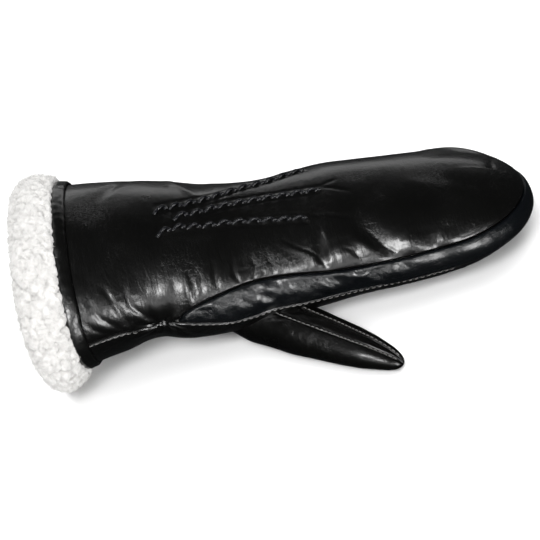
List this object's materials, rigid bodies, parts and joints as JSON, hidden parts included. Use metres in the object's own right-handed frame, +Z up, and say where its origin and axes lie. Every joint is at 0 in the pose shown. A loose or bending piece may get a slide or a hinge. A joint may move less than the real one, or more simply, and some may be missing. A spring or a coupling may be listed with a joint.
{
  "type": "lined leather mitten",
  "caption": "Black glossy leather mitten for the left hand, with a side strip, stitched points on the back, a bound cuff and a curly cream fleece lining that rolls out as a collar.",
  "frame": {"origin": "on the surface that the mitten lies on, under the middle of its box", "axes": "+X from the cuff to the fingertips, +Z up out of the back of the hand, -Y to the thumb"},
  "size_m": [0.2772, 0.1748, 0.0904],
  "materials": {
    "leather": "glossy",
    "fleece": "matte",
    "thread": "satin"
  },
  "bodies": {
    "root": {"back_panel": "leather", "palm_panel": "leather", "side_strip": "leather", "thumb_outer": "leather", "thumb_strip": "leather", "thumb_inner": "leather", "cuff_binding": "leather", "fleece_collar": "fleece", "lining_back": "fleece", "lining_palm": "fleece", "lining_thumb": "fleece", "point_far": "thread", "point_middle": "thread", "point_near": "thread"}
  },
  "joints": []
}
